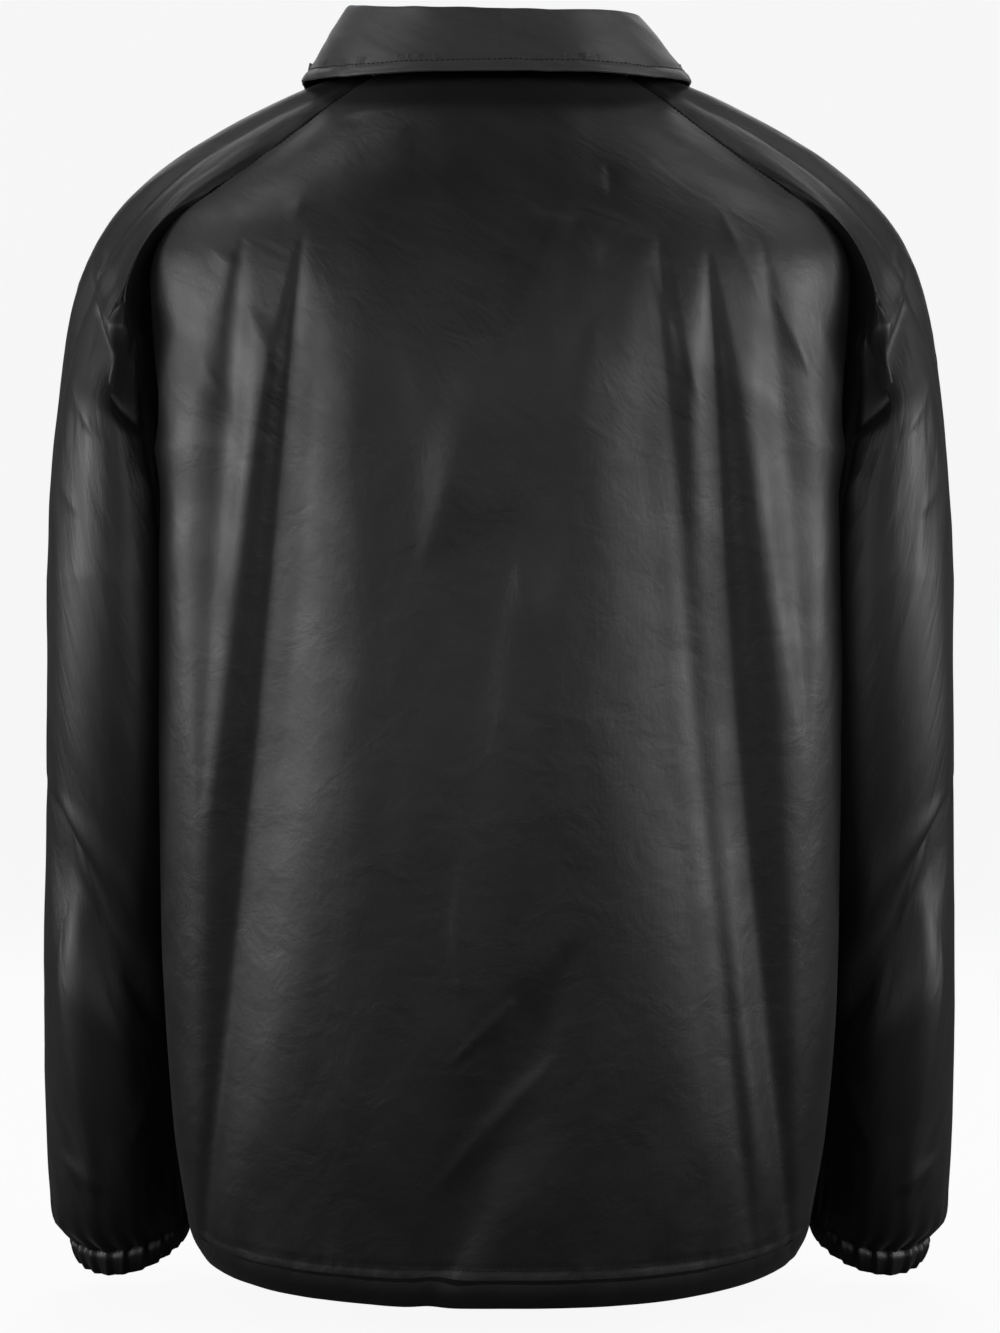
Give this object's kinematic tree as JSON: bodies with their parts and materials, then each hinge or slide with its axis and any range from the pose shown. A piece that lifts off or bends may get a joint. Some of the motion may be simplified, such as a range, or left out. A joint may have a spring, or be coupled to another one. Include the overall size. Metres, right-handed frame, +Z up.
{
  "type": "coach jacket",
  "caption": "Lightweight coach jacket with a turn-down collar, raglan sleeves, elastic cuffs, a stitched hem casing and a snap front, standing open in its worn shape.",
  "frame": {"origin": "middle of the neck opening, level with the highest point of the shoulders beside the neck", "axes": "+Z up along the body, -Y towards the snap front, +X towards the wearer's left"},
  "size_m": [0.566, 0.3128, 0.7822],
  "materials": {
    "shell_cloth": "smooth black nylon with a satin sheen",
    "collar_cloth": "the same black nylon, folded double and topstitched",
    "cuff_cloth": "the same black nylon, gathered on an elastic",
    "snap_cap": "black enamelled cap"
  },
  "bodies": {
    "root": {"back": "shell_cloth", "front_left": "shell_cloth", "front_right": "shell_cloth", "sleeve_back_left": "shell_cloth", "sleeve_front_left": "shell_cloth", "sleeve_back_right": "shell_cloth", "sleeve_front_right": "shell_cloth", "collar": "collar_cloth", "cuff_left": "cuff_cloth", "cuff_right": "cuff_cloth", "snap_1": "snap_cap", "snap_2": "snap_cap", "snap_3": "snap_cap", "snap_4": "snap_cap", "snap_5": "snap_cap"}
  },
  "joints": []
}
